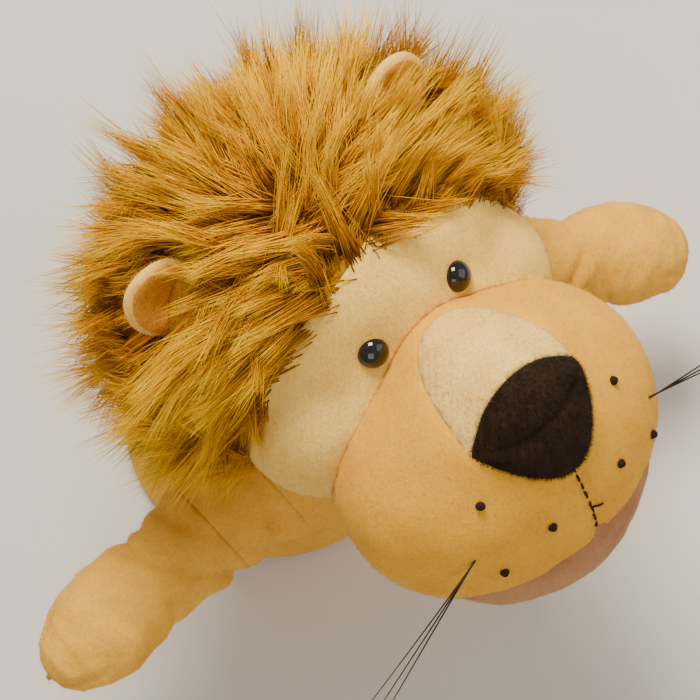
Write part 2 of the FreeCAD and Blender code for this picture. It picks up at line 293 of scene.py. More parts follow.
def fur_material():
    """Long-pile fibre: dark at the root, pale at the tip, with a tone for each fibre."""
    mat, nodes, links, shader = tree("mane_fur")
    along = nodes.new("ShaderNodeAttribute")
    along.attribute_name = "along"
    tone = nodes.new("ShaderNodeAttribute")
    tone.attribute_name = "tone"
    length = ramp_node(nodes, links, along.outputs["Fac"],
                       ((0.0, (0.20, 0.064, 0.0)), (0.3, (0.55, 0.215, 0.0)),
                        (0.68, (0.80, 0.385, 0.0)), (1.0, (0.98, 0.66, 0.02))))
    shade = ramp_node(nodes, links, tone.outputs["Fac"],
                      ((0.0, (0.50, 0.40, 0.30)), (0.5, (1.0, 1.0, 1.0)), (1.0, (1.15, 1.28, 1.3))))
    toned = mix_colour(nodes, links, "MULTIPLY", 1.0, length.outputs["Color"], shade.outputs["Color"])
    links.new(toned, shader.inputs["Base Color"])
    shader.inputs["Roughness"].default_value = 0.48
    shader.inputs["Specular IOR Level"].default_value = 0.12
    shader.inputs["Specular Tint"].default_value = (1.0, 0.72, 0.30, 1.0)
    return mat


def thread_material(name, colour, rough=0.7):
    mat, nodes, links, shader = tree(name)
    place = nodes.new("ShaderNodeTexCoord").outputs["Object"]
    twist = noise_node(nodes, links, place, 1500.0, 2.0)
    dark, light = tuple(c * 0.6 for c in colour), tuple(min(1, c * 1.5) for c in colour)
    # darker where the twist is low and lighter where it stands up: painted shade in the grooves and
    # painted highlight on the raised parts
    base = ramp_node(nodes, links, twist.outputs["Fac"], ((0.3, dark), (0.7, light)))
    links.new(base.outputs["Color"], shader.inputs["Base Color"])
    height = nodes.new("ShaderNodeBump")
    height.inputs["Strength"].default_value = 0.5
    height.inputs["Distance"].default_value = 0.0003
    links.new(twist.outputs["Fac"], height.inputs["Height"])
    links.new(height.outputs["Normal"], shader.inputs["Normal"])
    shader.inputs["Roughness"].default_value = rough
    shader.inputs["Specular IOR Level"].default_value = 0.15
    return mat


def eye_material():
    """Moulded glossy black, with the faint dust and scuffs of a handled toy."""
    mat, nodes, links, shader = tree("eye_gloss")
    place = nodes.new("ShaderNodeTexCoord").outputs["Object"]
    dust = noise_node(nodes, links, place, 700.0, 5.0)
    base = ramp_node(nodes, links, dust.outputs["Fac"],
                     ((0.45, (0.004, 0.004, 0.005)), (0.85, (0.02, 0.018, 0.016))))
    links.new(base.outputs["Color"], shader.inputs["Base Color"])
    gloss = ramp_node(nodes, links, dust.outputs["Fac"], ((0.4, (0.05,) * 3), (0.9, (0.16,) * 3)))
    links.new(gloss.outputs["Color"], shader.inputs["Roughness"])
    shader.inputs["Coat Weight"].default_value = 0.3
    shader.inputs["Coat Roughness"].default_value = 0.04
    return mat


def woven_material(name, colour):
    """Plain woven lining: crossing threads of about half a millimetre."""
    mat, nodes, links, shader = tree(name)
    place = nodes.new("ShaderNodeTexCoord").outputs["Object"]
    heights = []
    for turn in (0.0, 1.5708):
        turned = nodes.new("ShaderNodeMapping")
        turned.inputs["Rotation"].default_value = (turn, 0.3, turn)
        links.new(place, turned.inputs["Vector"])
        wave = nodes.new("ShaderNodeTexWave")
        wave.inputs["Scale"].default_value = 620.0
        wave.inputs["Distortion"].default_value = 1.2
        links.new(turned.outputs["Vector"], wave.inputs["Vector"])
        heights.append(wave.outputs["Fac"])
    weave = nodes.new("ShaderNodeMath")
    weave.operation = "MAXIMUM"
    links.new(heights[0], weave.inputs[0])
    links.new(heights[1], weave.inputs[1])
    # the lining is darker where the weave is low: painted shade in the gaps between the threads
    base = ramp_node(nodes, links, weave.outputs[0],
                     ((0.2, tuple(c * 0.7 for c in colour)), (0.9, colour)))
    links.new(base.outputs["Color"], shader.inputs["Base Color"])
    height = nodes.new("ShaderNodeBump")
    height.inputs["Strength"].default_value = 0.4
    height.inputs["Distance"].default_value = 0.0003
    links.new(weave.outputs[0], height.inputs["Height"])
    links.new(height.outputs["Normal"], shader.inputs["Normal"])
    shader.inputs["Roughness"].default_value = 0.85
    return mat


CREAM = plush("face_plush", (0.97, 0.64, 0.15), (0.92, 0.57, 0.12))
TAN = plush("muzzle_plush", (0.87, 0.44, 0.032), (0.82, 0.385, 0.024))
PALE = plush("bridge_plush", (0.96, 0.66, 0.21), (0.89, 0.56, 0.15))
BODY = plush("body_plush", (0.90, 0.49, 0.060), (0.83, 0.42, 0.045))
PINK = plush("jaw_plush", (0.52, 0.26, 0.125), (0.42, 0.19, 0.085))
EAR = plush("ear_plush", (0.84, 0.37, 0.030), (0.74, 0.29, 0.020))
NOSE = plush("nose_plush", (0.034, 0.017, 0.009), (0.016, 0.009, 0.005), fuzz=0.05, bump=0.8)
FUR = fur_material()
THREAD = thread_material("stitch_thread", (0.022, 0.011, 0.007), rough=0.95)
NYLON = thread_material("whisker_nylon", (0.020, 0.012, 0.008), rough=0.4)
WASHER = thread_material("washer_plastic", (0.55, 0.55, 0.52), rough=0.5)
LINING = woven_material("lining_cloth", (0.62, 0.44, 0.26))
EYE = eye_material()


# ---- head form ------------------------------------------------------------------------------

HEART = np.array([0.0, -42.0, 24.0])
SKULL = (np.array([0.0, -4.0, 46.0]), np.array([66.0, 62.0, 58.0]))
CHEEKS = (np.array([0.0, -34.0, 22.0]), np.array([65.0, 42.0, 42.0]))
MUZZLE = (np.array([0.0, -76.0, 0.0]), np.array([61.0, 50.0, 51.0]))
BRIDGE = (np.array([0.0, -83.0, 21.0]), np.array([36.0, 39.0, 40.0]))
EYES_AT = {side: np.array([sign * 20.8, 57.7]) for side, sign in SIDES}


def reach(form, d):
    """How far a ray from the heart of the head runs before it leaves an ellipsoid."""
    centre, half = form
    q, w = (HEART - centre) / half, d / half
    a, b, c = (w * w).sum(1), 2 * (w @ q), q @ q - 1
    inside = np.maximum(b * b - 4 * a * c, 0)
    return (-b + np.sqrt(inside)) / (2 * a)


def blend_max(values, soft):
    top = np.max(values, axis=0)
    return top + soft * np.log(sum(np.exp((v - top) / soft) for v in values))


def hair_edge(p):
    """Positive where the mane grows, in millimetres behind the hairline."""
    line = -50.0 + 0.45 * np.clip(76.0 - p[:, 2], 0, 90) + 1.5 * np.sin(p[:, 0] / 9.0)
    return p[:, 1] - line


def bridge_edge(p):
    """Positive inside the pale patch that runs down the top of the muzzle."""
    inside = 1 - np.sqrt((p[:, 0] / 24.5) ** 2 + ((p[:, 1] + 110.0) / 38.5) ** 2)
    return np.minimum(inside * 24.0, p[:, 2] - 40.5)


def nose_edge(p):
    """Positive inside the rounded triangle of the nose."""
    rise = np.clip((p[:, 2] - 19.5) / 23.0, 0, 1)
    width = 26.5 * rise ** 0.56
    back = -(p[:, 1] + 105.5 + 0.004 * p[:, 0] ** 2)
    return np.minimum(np.minimum((width - np.abs(p[:, 0])) * 0.8, back), p[:, 2] - 19.0)


def head_surface(d):
    """Point of the plush head along a direction, how much it is muzzle, and its seams."""
    skull, cheek = reach(SKULL, d), reach(CHEEKS, d)
    nose_side, bridge = reach(MUZZLE, d), reach(BRIDGE, d)
    face = blend_max([skull, cheek], 2.5)
    snout = blend_max([nose_side, bridge], 4.0)
    seam = snout - face
    r = blend_max([face, snout], 1.3)
    p = HEART + d * r[:, None]
    return p, seam


def head_detail(p, seam):
    """Seam grooves, puckers, eye sockets and the unevenness of stuffing, along the ray."""
    move = 0.9 * lumps(p, 30.0) + 0.35 * lumps(p, 11.0, 2.0)
    near_seam = bell_curve(seam, 2.2)
    move -= 1.3 * near_seam
    move += 0.45 * bell_curve(seam, 9.0) * lumps(p, 5.0, 1.0)
    patch = bridge_edge(p)
    on_top = smooth_step(-p[:, 1], 60, 70)
    move -= 0.9 * bell_curve(patch, 1.3) * on_top
    move += 0.8 * smooth_step(patch, 0, 7) * on_top
    for x, z in EYES_AT.values():
        away = np.hypot(p[:, 0] - x, p[:, 2] - z)
        move -= 2.2 * bell_curve(away, 8.0) * (p[:, 1] < -30)
    below_nose = smooth_step(-p[:, 1], 108, 116) * smooth_step(-p[:, 2], -21, -17)
    move -= 2.4 * bell_curve(p[:, 0], 2.0) * below_nose
    return move


def cut_along(bm, values):
    """Split the mesh where a value at its vertices passes through zero."""
    layer = {v: g for v, g in zip(bm.verts, values)}
    crossing = [e for e in bm.edges if layer[e.verts[0]] * layer[e.verts[1]] < 0]
    fresh = []
    for edge in crossing:
        a, b = edge.verts
        share = layer[a] / (layer[a] - layer[b])
        _, vert = bmesh.utils.edge_split(edge, a, min(max(share, 0.02), 0.98))
        fresh.append(vert)
    bmesh.ops.connect_verts(bm, verts=fresh)
    bm.verts.ensure_lookup_table()


def head_directions(bm):
    co = np.array([v.co[:] for v in bm.verts])
    return unit(co)


def build_head():
    """One continuous plush skin, split along its real seams into its panels."""
    bm = bmesh.new()
    bmesh.ops.create_icosphere(bm, subdivisions=6, radius=1.0)
    for edge in (None, hair_edge, bridge_edge, nose_edge):
        p, seam = head_surface(head_directions(bm))
        cut_along(bm, edge(p) if edge else seam)
    p, seam = head_surface(head_directions(bm))
    d = head_directions(bm)
    move = head_detail(p, seam)
    skin = p + d * move[:, None]
    bm.verts.index_update()
    faces = [[v.index for v in f.verts] for f in bm.faces]
    middle_d = unit(np.array([d[f].mean(0) for f in faces]))
    mp, ms = head_surface(middle_d)
    snout = ms > 0
    hair = (hair_edge(mp) > 0) & ~snout
    patch = snout & (bridge_edge(mp) > 0)
    nose = snout & (nose_edge(mp) > 0)
    neck = (np.hypot(mp[:, 0], mp[:, 1]) < 27.0) & (mp[:, 2] < 20)
    bm.free()
    regions = {"face": ~snout & ~hair & ~neck, "back": hair & ~neck,
               "muzzle": snout & ~patch & ~nose, "bridge": patch & ~nose, "nose": nose}
    return p, d, skin, faces, regions


def pick(name, points, faces, mask):
    """Object made of the chosen faces only."""
    chosen = [faces[i] for i in np.nonzero(mask)[0]]
    used = sorted({i for f in chosen for i in f})
    index = {old: new for new, old in enumerate(used)}
    verts = head_point(points[used])
    return new_mesh(name, verts, [[index[i] for i in f] for f in chosen])


def head_skins():
    p, d, skin, faces, regions = build_head()
    face = thicken(pick("face_skin", skin, faces, regions["face"]), 0.0016, 14000, 1.0)
    dress(face, CREAM, "head", ("face_panel",))
    back = thicken(pick("head_back_skin", skin, faces, regions["back"]), 0.0016, 18000, 4.0)
    dress(back, BACKING, "head", ("head_back_panel", "head_stuffing"))
    muzzle = thicken(pick("muzzle_skin", skin, faces, regions["muzzle"]), 0.0016, 18000, 1.0)
    dress(muzzle, TAN, "head", ("muzzle_panel", "muzzle_stuffing"))
    bridge = thicken(pick("nose_bridge_skin", skin, faces, regions["bridge"]), 0.0016, 6000, 1.0)
    dress(bridge, PALE, "head", ("nose_bridge_patch",))
    inside = nose_edge(p)
    raised = skin + d * (0.2 + 2.6 * smooth_step(inside, -0.5, 4.5) + 0.25 * lumps(p, 4.0))[:, None]
    nose = thicken(pick("nose_skin", raised, faces, regions["nose"]), 0.0022, 10000, 1.7)
    dress(nose, NOSE, "head", ("nose_patch",))


SLOPE_STEPS = (np.array([0.01, 0.0, 0.0]), np.array([0.0, 0.0, 0.01]))


def surface_at(x, z):
    """Front surface point and outward normal of the head at a given x and z."""
    guess = np.array([[x, HEART[1] - 90.0, z]])
    for _ in range(30):
        guess[0, 1] = head_surface(unit(guess - HEART))[0][0, 1]
    d = unit(guess - HEART)
    p, seam = head_surface(d)
    around = [head_surface(unit(d + step))[0][0] for step in SLOPE_STEPS]
    normal = unit(np.cross(around[0] - p[0], around[1] - p[0]))
    if normal @ (p[0] - HEART) < 0:
        normal = -normal
    return p[0] + d[0] * head_detail(p, seam)[0], normal


def dome(name, centre, normal, radius, height, rings=24, cols=48, under=1.5):
    """Rounded button: a dome with a short skirt that sinks below the cloth."""
    side = unit(np.cross(normal, [0.31, 0.2, 0.93]))
    up = np.cross(normal, side)
    verts = []
    for i in range(rings):
        a = i / (rings - 1) * math.pi * 0.5
        r, h = radius * math.cos(a), height * math.sin(a)
        for j in range(cols):
            b = j / cols * 2 * math.pi
            verts.append(centre + side * r * math.cos(b) + up * r * math.sin(b) + normal * h)
    skirt = [v - normal * under for v in verts[:cols]]
    verts = skirt + verts
    faces = grid_faces(rings + 1, cols)
    faces.append(tuple(range(cols))[::-1])
    return new_mesh(name, head_point(np.array(verts)), faces)


def eyes():
    for side, (x, z) in EYES_AT.items():
        centre, normal = surface_at(x, z)
        eye = dome(side + "_eye_dome", centre - normal * 0.3, normal, 5.5, 4.7, under=3.0)
        dress(eye, EYE, "head", (side + "_eye",))


KNOTS = ((31.0, 24.0), (16.0, 4.0), (35.0, -6.0))


def knots():
    """French knots on each side of the muzzle, each a small coil of dark thread."""
    for side, sign in SIDES:
        verts, faces = [], []
        for x, z in KNOTS:
            centre, normal = surface_at(sign * x, z)
            a = unit(np.cross(normal, [0.2, 0.3, 0.9]))
            b = np.cross(normal, a)
            for turn in range(3):
                base = len(verts)
                r = 1.15 - 0.3 * turn
                middle = centre + normal * (0.5 + 0.45 * turn)
                for i in range(20):
                    t = i / 20 * 2 * math.pi
                    out = a * math.cos(t) + b * math.sin(t)
                    core = middle + out * r
                    for k in range(8):
                        w = k / 8 * 2 * math.pi
                        verts.append(core + 0.52 * (out * math.cos(w) + normal * math.sin(w)))
                for i in range(20):
                    for k in range(8):
                        n, m = (i + 1) % 20, (k + 1) % 8
                        near, far = base + i * 8, base + n * 8
                        faces.append((near + k, far + k, far + m, near + m))
        obj = new_mesh(side + "_knots", head_point(np.array(verts)), faces)
        dress(obj, THREAD, "head", (side + "_whisker_knots",))


def tube(name, lines, radii, cols=8):
    """Closed tubes along polylines given in world metres."""
    verts, faces = [], []
    for line, width in zip(lines, radii):
        line = np.asarray(line)
        base, count = len(verts), len(line)
        tangent = unit(np.gradient(line, axis=0))
        side = unit(np.cross(tangent, [0.13, 0.27, 0.95]))
        up = np.cross(tangent, side)
        for i in range(count):
            for k in range(cols):
                w = k / cols * 2 * math.pi
                verts.append(line[i] + width[i] * (side[i] * math.cos(w) + up[i] * math.sin(w)))
        for i in range(count - 1):
            for k in range(cols):
                m, near, far = (k + 1) % cols, base + i * cols, base + (i + 1) * cols
                faces.append((near + k, near + m, far + m, far + k))
        faces.append(tuple(base + k for k in range(cols))[::-1])
        faces.append(tuple(base + (count - 1) * cols + k for k in range(cols)))
    return new_mesh(name, verts, faces)


def whiskers():
    for side, sign in SIDES:
        lines, radii = [], []
        for number, lift in enumerate((-0.075, 0.0, 0.085)):
            root, normal = surface_at(sign * (39.0 + 0.4 * number), 6.0 - 0.9 * number)
            heading = unit(np.array([sign * 0.96, -0.08, -0.27 + lift]))
            t = np.linspace(0, 1, 24)[:, None]
            bend = np.array([0, 1.0, -3.0 + 2.0 * number])
            path = root - normal * 2.0 + heading * t * (86.0 - 4 * number) + bend * t ** 2
            lines.append(head_point(path))
            radii.append((0.33 - 0.22 * t[:, 0]) * MM)
        obj = tube(side + "_whisker_filaments", lines, radii)
        dress(obj, NYLON, "head", (side + "_whiskers",))


def philtrum():
    """Dark running stitch from the nose down to the lip, with one short side stitch."""
    lines, radii = [], []
    for start in np.arange(18.5, -17.0, -4.4):
        pts = []
        for z in np.linspace(start, start - 3.9, 7):
            point, normal = surface_at(0.0, z)
            sink = abs(z - (start - 1.95)) / 1.95
            pts.append(point + normal * (0.85 - 0.9 * sink ** 4))
        lines.append(head_point(np.array(pts)))
        radii.append([0.42 * MM] * 7)
    pts = []
    for x in np.linspace(0.0, 3.6, 5):
        point, normal = surface_at(x, -4.0 + 0.3 * x)
        pts.append(point + normal * 0.6)
    lines.append(head_point(np.array(pts)))
    radii.append([0.36 * MM] * 5)
    obj = tube("philtrum_thread", lines, radii)
    dress(obj, THREAD, "head", ("philtrum_stitch",))


def chin():
    """The soft lower jaw, a rounded pad that shows as a rim under the upper lip."""
    centre, half = np.array([0.0, -79.0, -23.0]), np.array([48.5, 45.0, 29.5])
    bm = bmesh.new()
    bmesh.ops.create_icosphere(bm, subdivisions=6, radius=1.0)
    d = np.array([v.co[:] for v in bm.verts])
    p = centre + d * half
    p[:, 1] = np.minimum(p[:, 1], -42.0 + 0.1 * (p[:, 1] + 42))
    p += d * (0.7 * lumps(p, 16.0, 4.0) + 0.25 * lumps(p, 5.0))[:, None]
    for v, co in zip(bm.verts, head_point(p)):
        v.co = co
    mesh = bpy.data.meshes.new("chin_pad")
    bm.to_mesh(mesh)
    bm.free()
    mesh.polygons.foreach_set("use_smooth", [True] * len(mesh.polygons))
    obj = bpy.data.objects.new("chin_pad", mesh)
    bpy.context.collection.objects.link(obj)
    thicken(obj, 0.0, 6000, 0.9)
    dress(obj, PINK, "jaw", ("lower_jaw_panel", "jaw_stuffing"))


# ---- ears -----------------------------------------------------------------------------------

EAR_AT = np.array([54.0, -1.0, 81.0])


def ear_points(sign, across, up, depth):
    """Ear-local millimetres to head millimetres: the ear leans outwards from its base."""
    lean = math.radians(44.0) * sign
    x = across * math.cos(lean) + up * math.sin(lean)
    z = -across * math.sin(lean) + up * math.cos(lean)
    return np.stack([sign * EAR_AT[0] + x, EAR_AT[1] + depth, EAR_AT[2] + z], 1)


EAR_CLOTHS = (("outer", 1.0, CREAM, "face_plush"), ("inner", 0.87, EAR, "ear_plush"))


def ears():
    for side, sign in SIDES:
        rows, cols = 40, 72
        for label, grow, material, slot in EAR_CLOTHS:
            u = np.repeat(np.linspace(-math.pi / 2, math.pi / 2, rows), cols)
            v = np.tile(np.linspace(0, 2 * math.pi, cols, endpoint=False), rows)
            across = 14.0 * grow * np.cos(u) * np.cos(v)
            up = 16.5 * grow * np.sin(u)
            thick = (4.6 if label == "outer" else 2.0) * np.cos(u) * np.sin(v)
            rim = np.clip((across / 14.0) ** 2 + (up / 16.5) ** 2, 0, 1)
            cup = -2.6 + 4.0 * (1 - rim)
            hollow = thick * (0.25 + 0.75 * rim) * 0.8 + cup * (1 - rim) * 1.2
            depth = np.where(thick < 0, hollow, thick)
            if label == "inner":
                depth = thick * 0.35 + (4.0 * (1 - rim) - 2.6) * (1 - rim) * 1.2 - 1.5
            p = ear_points(sign, across, up, depth)
            p += 0.35 * lumps(p, 7.0, sign)[:, None] * np.array([0.3, 1.0, 0.3])
            obj = new_mesh("%s_ear_%s_cloth" % (side, label), head_point(p), grid_faces(rows, cols))
            thicken(obj, 0.0, 2600, 1.3)
            dress(obj, material, side + "_ear", ("%s_ear_%s" % (side, label),))


# ---- arms -----------------------------------------------------------------------------------

ARM_TIP = 119.0
# further in than this the sleeve is hidden in the body and needs no nap
NAP_START = -22.0


def arm_axes(side, sign):
    start = joint_point(side + "_shoulder_raise")
    along = unit(joint_point(side + "_elbow_bend") - start)
    up = unit(JOINT[side + "_elbow_bend"]["axis"]) * -sign
    return start, along, np.cross(up, along), up


ARM_STATIONS = (-36.0, -13.0, -3.0, 20.0, 40.0, 57.0, 72.0, 90.0, 104.0, 113.0, 117.5, 119.0)
ARM_WIDTHS = (15.0, 21.0, 25.0, 22.0, 20.0, 18.0, 19.5, 20.5, 18.5, 13.0, 7.0, 0.4)
ARM_THICKS = (13.0, 19.0, 23.0, 20.0, 18.0, 16.0, 17.0, 17.5, 15.5, 11.0, 6.0, 0.4)


# where each fold lies along the arm, how far it slants, its depth and its width
ARM_FOLDS = ((53.0, 13.0, 3.0, 2.4), (64.0, -8.0, 1.3, 2.4), (35.0, 12.0, 1.5, 3.0),
             (14.0, -9.0, 1.4, 3.4), (82.0, 8.0, 0.9, 3.0))


def arm_surface(side, sign, x, angle):
    """World points of the sleeve at distances x along the arm and angles round it."""
    shrink = 0.2 if side == "left" else 0.0
    start, along, across, up = arm_axes(side, sign)
    width = np.interp(x, ARM_STATIONS, ARM_WIDTHS)
    thick = np.interp(x, ARM_STATIONS, ARM_THICKS)
    local = np.stack([x, width * np.cos(angle), thick * np.sin(angle)], 1)
    slack = smooth_step(x, -10, 20) * (1 - smooth_step(x, 105, ARM_TIP))
    crease = 0.0
    for place, slant, deep, wide in ARM_FOLDS:
        line = place + slant * np.sin(angle + sign * 0.9)
        open_side = 0.6 + 0.4 * np.sin(angle * 2 + place)
        crease = crease - deep * bell_curve(x - line, wide) * open_side
        crease = crease + 0.45 * deep * bell_curve(x - line - 2.4 * wide, 1.8 * wide) * open_side
    finger_lines = bell_curve(np.mod(angle * 3 / math.pi + 0.5, 2) - 1, 0.16)
    fingers = -1.5 * smooth_step(x, 92, 106) * finger_lines * (np.abs(np.sin(angle)) < 0.75)
    ripple = 1.0 * lumps(local, 15.0, sign) + 0.45 * lumps(local, 6.0, sign + 1.0)
    move = slack * (crease + ripple) + fingers
    local[:, 1] += move * np.cos(angle)
    local[:, 2] += move * np.sin(angle) - 1.5 * smooth_step(x, 70, 119)
    local[:, 0] -= shrink * np.maximum(local[:, 0] - 60.0, 0)
    return start + MM * (local[:, :1] * along + local[:, 1:2] * across + local[:, 2:3] * up)


def arm_piece(name, side, sign, low, high, closed_tip=False):
    step = 1.4
    stations = np.linspace(low, high, max(int((high - low) / step), 6))
    if closed_tip:
        # stations crowd together towards the rounded tip
        stations = low + (high - low) * np.sin(np.linspace(0, math.pi / 2, len(stations) + 14))
    cols = 96
    x = np.repeat(stations, cols)
    angle = np.tile(np.linspace(0, 2 * math.pi, cols, endpoint=False), len(stations))
    verts = arm_surface(side, sign, x, angle)
    if not closed_tip:
        start, along = arm_axes(side, sign)[:2]
        tuck = smooth_step(x, high - 4.5, high - 1.0)[:, None] * 0.05
        middle = start + ((verts - start) @ along)[:, None] * along
        verts += (middle - verts) * tuck
    faces = grid_faces(len(stations), cols)
    if closed_tip:
        faces.append(tuple((len(stations) - 1) * cols + k for k in range(cols)))
    shown = high - max(low, NAP_START)
    return thicken(new_mesh(name, verts, faces), 0.0014, int(shown * 120), 1.0)


def arms():
    for side, sign in SIDES:
        root = arm_piece(side + "_arm_root", side, sign, -34.0, 13.0)
        dress(root, BODY, None, (side + "_shoulder_sleeve",))
        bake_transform(root)
        upper = arm_piece(side + "_arm_upper", side, sign, 8.6, 40.0)
        dress(upper, BODY, None, (side + "_upper_sleeve",))
        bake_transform(upper)
        paw = arm_piece(side + "_arm_paw", side, sign, 35.6, ARM_TIP, closed_tip=True)
        dress(paw, BODY, None, (side + "_paw_shell", side + "_paw_stuffing"))
        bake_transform(paw)


# ---- glove body -----------------------------------------------------------------------------

HEM_RADIUS = (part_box("hem_band")[1][0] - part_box("hem_band")[0][0]) / 2 / MM
TOP = (NECK[2] / MM) - 12.0
ARMHOLE_RADIUS = 0.012


def bell_surface(up, angle, grow=0.0):
    """World points of the glove body at heights up (mm) and angles round it."""
    share = np.clip(up / TOP, 0, 1)
    radius = np.interp(share, (0, 0.1, 0.35, 0.62, 0.84, 0.94, 1.0),
                       (HEM_RADIUS - 1.5, HEM_RADIUS - 1.0, HEM_RADIUS * 0.90, HEM_RADIUS * 0.72,
                        HEM_RADIUS * 0.57, HEM_RADIUS * 0.47, 27.0))
    lean = (up / (NECK[2] / MM)) ** 1.2
    local = np.stack([radius * np.cos(angle), radius * np.sin(angle), up], 1)
    folds = 1.7 * np.sin(up / 4.6 + 1.6 * np.sin(angle * 2 + 1) + 0.4 * lumps(local, 30.0))
    folds *= bell_curve(share - 0.45, 0.33)
    folds *= 0.35 + 0.65 * smooth_step(-np.sin(angle), -0.6, 0.6)
    drape = 1.6 * np.sin(5 * angle + 0.7) * (1 - share) * smooth_step(share, 0.02, 0.25)
    uneven = 0.9 * lumps(local, 22.0, 5.0) * smooth_step(share, 0.02, 0.2)
    radius = MM * (radius + grow + folds + drape + uneven)
    x, y = np.outer(lean, NECK[:2]).T
    return np.stack([x + radius * np.cos(angle), y + radius * np.sin(angle), up * MM], 1)


def body_panels():
    twist = math.radians(18.0)
    for name, node, low, high in (("body_front_cloth", "body_front_panel", twist - math.pi, twist),
                                  ("body_back_cloth", "body_back_panel", twist, twist + math.pi)):
        rows, cols = 110, 150
        ups = np.repeat(np.linspace(9.0, TOP, rows), cols)
        angle = np.tile(np.linspace(low, high, cols), rows)
        seam = np.minimum(angle - low, high - angle) * 45.0
        verts = bell_surface(ups, angle, -1.2 * bell_curve(seam, 1.6))
        faces = []
        holes = [joint_point(side + "_shoulder_raise") for side, _ in SIDES]
        for f in grid_faces(rows, cols, closed=False):
            middle = verts[list(f)].mean(0)
            if min(np.linalg.norm(middle - hole) for hole in holes) > ARMHOLE_RADIUS:
                faces.append(f)
        obj = thicken(new_mesh(name, verts, faces), 0.0018, 8000, 1.0)
        dress(obj, BODY, "glove", (node,))


def hem():
    """Turned hem: the cloth rolls under at the bottom edge and is stitched down."""
    cols = 240
    profile = ((-3.6, 14.0), (-4.4, 8.0), (-4.6, 3.0), (-3.6, 0.8), (-1.6, 0.1),
               (0.2, 1.0), (0.9, 3.5), (0.7, 8.0), (0.4, 10.4), (-0.7, 11.4),
               (0.1, 12.4), (0.0, 14.5), (-1.6, 15.5))
    verts = []
    for inset, up in profile:
        angle = np.linspace(0, 2 * math.pi, cols, endpoint=False)
        puckers = 0.25 * np.sin(angle * 60) * (8 < up < 14)
        verts.append(bell_surface(np.full(cols, max(up, 0.0)), angle, inset + puckers))
    verts = np.concatenate(verts)
    faces = grid_faces(len(profile), cols)
    last = (len(profile) - 1) * cols
    faces += [(last + j, last + (j + 1) % cols, (j + 1) % cols, j) for j in range(cols)]
    obj = new_mesh("hem_roll", verts, faces)
    dress(obj, BODY, "glove", ("hem_band",))


def neck_sleeve():
    """Gathered neck cloth between the glove and the head."""
    rows, cols = 40, 120
    ups = np.repeat(np.linspace(-16.0, 12.0, rows), cols)
    angle = np.tile(np.linspace(0, 2 * math.pi, cols, endpoint=False), rows)
    gathers = 0.9 * np.sin(angle * 22 + ups / 9.0) * bell_curve(ups + 6, 12.0)
    radius = 25.5 + gathers
    verts = NECK + MM * np.stack([radius * np.cos(angle), radius * np.sin(angle), ups], 1)
    obj = thicken(new_mesh("neck_cloth", verts, grid_faces(rows, cols)), 0.0014)
    dress(obj, BODY, "neck", ("neck_collar",))


# ---- mane -----------------------------------------------------------------------------------

BACKING = plush("mane_backing", (0.50, 0.235, 0.004), (0.36, 0.16, 0.002), fuzz=0.0, bump=0.9)
MANE = (np.array([0.0, 10.0, 48.0]), np.array([103.0, 71.0, 79.0]))
WHORL = unit((np.array([-12.0, -36.0, 97.0]) - SKULL[0]) / SKULL[1])
LOCKS, FIBRES = ((540, 40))
SEGMENTS = 5
# how far a lock may reach past the CAD box, in metres
LOOSE_FUR = 0.005


def skull_roots(count):
    """Evenly spread points of the skull where the mane grows, and their normals."""
    i = np.arange(count * 2) + 0.5
    z, a = 1 - i / count, i * 2.399963
    d = np.stack([np.sqrt(1 - z * z) * np.cos(a), np.sqrt(1 - z * z) * np.sin(a), z], 1)
    d = unit(d + 0.03 * rng.randn(*d.shape))
    centre, half = SKULL
    p = centre + d * half
    ray = unit(p - HEART)
    skin, seam = head_surface(ray)
    skin = skin + ray * head_detail(skin, seam)[:, None]
    keep = (hair_edge(p) > -0.5) & (p[:, 2] > -4)
    return skin[keep], unit(d[keep] / half), d[keep]


def flow(p, n, d):
    """Direction the fur is combed in: away from whorl and face, then down with its weight."""
    away = d - WHORL * (d @ WHORL)[:, None]
    away = unit(away - n * (away * n).sum(1)[:, None])
    droop = np.array([0.0, 0.25, -1.0]) * smooth_step(p[:, 2], 60, 0)[:, None] * 0.5
    near = bell_curve(np.linalg.norm(p - (SKULL[0] + WHORL * SKULL[1]), axis=1), 20.0)[:, None]
    comb = away + droop + near * rng.randn(len(p), 3) * 0.9
    into = np.array([0.0, 1.0, 0.35]) - n * (n @ np.array([0.0, 1.0, 0.35]))[:, None]
    into = unit(into)
    forward = np.maximum(0.25 - (comb * into).sum(1), 0) * (1 - smooth_step(hair_edge(p), 6, 34))
    comb = comb + into * forward[:, None]
    return unit(comb - n * (comb * n).sum(1)[:, None])


def room_in_mane(p, heading):
    """Length of a straight fibre that just reaches the outer form of the mane."""
    q, w = (p - MANE[0]) / MANE[1], heading / MANE[1]
    a, b, c = w @ w, 2 * (w @ q), q @ q - 1
    return (-b + math.sqrt(max(b * b - 4 * a * c, 0))) / (2 * a)


def room_at_ears(p, heading, length):
    """Shorten a lock that would run into or over an ear."""
    for _, sign in SIDES:
        ear = EAR_AT * np.array([sign, 1, 1]) + np.array([sign * 4.0, -4.0, 7.0])
        for s in np.linspace(0.1, 1.0, 10):
            gap = (p + heading * length * s - ear) / np.array([20.0, 15.0, 21.0])
            if gap @ gap < 1:
                length = length * max(s - 0.12, 0.0)
                break
    return length


def room_in_box(p, heading, length):
    """Shorten a lock that would reach far past the back or the top of the CAD box."""
    root = head_point(p)
    for axis in (1, 2):
        tip, limit = head_point(p + heading * length), CAD_BOX[1][axis] + LOOSE_FUR
        if tip[axis] > limit:
            length *= max((limit - root[axis]) / (tip[axis] - root[axis]), 0.0)
    return length


